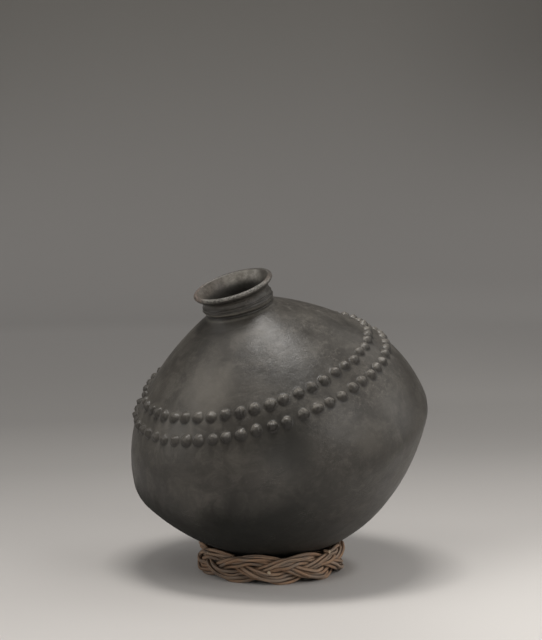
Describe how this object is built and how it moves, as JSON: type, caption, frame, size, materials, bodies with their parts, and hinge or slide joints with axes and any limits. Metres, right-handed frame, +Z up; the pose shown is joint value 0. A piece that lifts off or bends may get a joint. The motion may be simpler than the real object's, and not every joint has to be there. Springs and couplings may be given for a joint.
{
  "type": "clay water pot on a plaited ring",
  "caption": "Round-bottomed narrow-necked clay pot with two rows of shoulder studs, leaning in a plaited cane ring that holds it steady on the floor.",
  "frame": {"origin": "middle of the underside of the bounding box, on the floor that the ring stands on", "axes": "+Z up; +X to the right and +Y away from the pictured front; the pot's mouth leans towards -X and -Y"},
  "size_m": [0.4264, 0.4306, 0.4362],
  "materials": {
    "clay": "smoke-fired clay, burnished to a soft sheen, worn paler on the lip",
    "cane": "dry, fibrous split cane, weathered brown and grey"
  },
  "bodies": {
    "ring": {"ring_strand_a_rod_1": "cane", "ring_strand_a_rod_2": "cane", "ring_strand_a_rod_3": "cane", "ring_strand_a_rod_4": "cane", "ring_strand_b_rod_1": "cane", "ring_strand_b_rod_2": "cane", "ring_strand_b_rod_3": "cane", "ring_strand_b_rod_4": "cane", "ring_strand_c_rod_1": "cane", "ring_strand_c_rod_2": "cane", "ring_strand_c_rod_3": "cane", "ring_strand_c_rod_4": "cane"},
    "pot": {"pot": "clay"}
  },
  "joints": [
    {"name": "lift_off", "type": "slide", "parent": "ring", "child": "pot", "axis": [0, 0, 1], "range_m": [0, 0.3]}
  ]
}
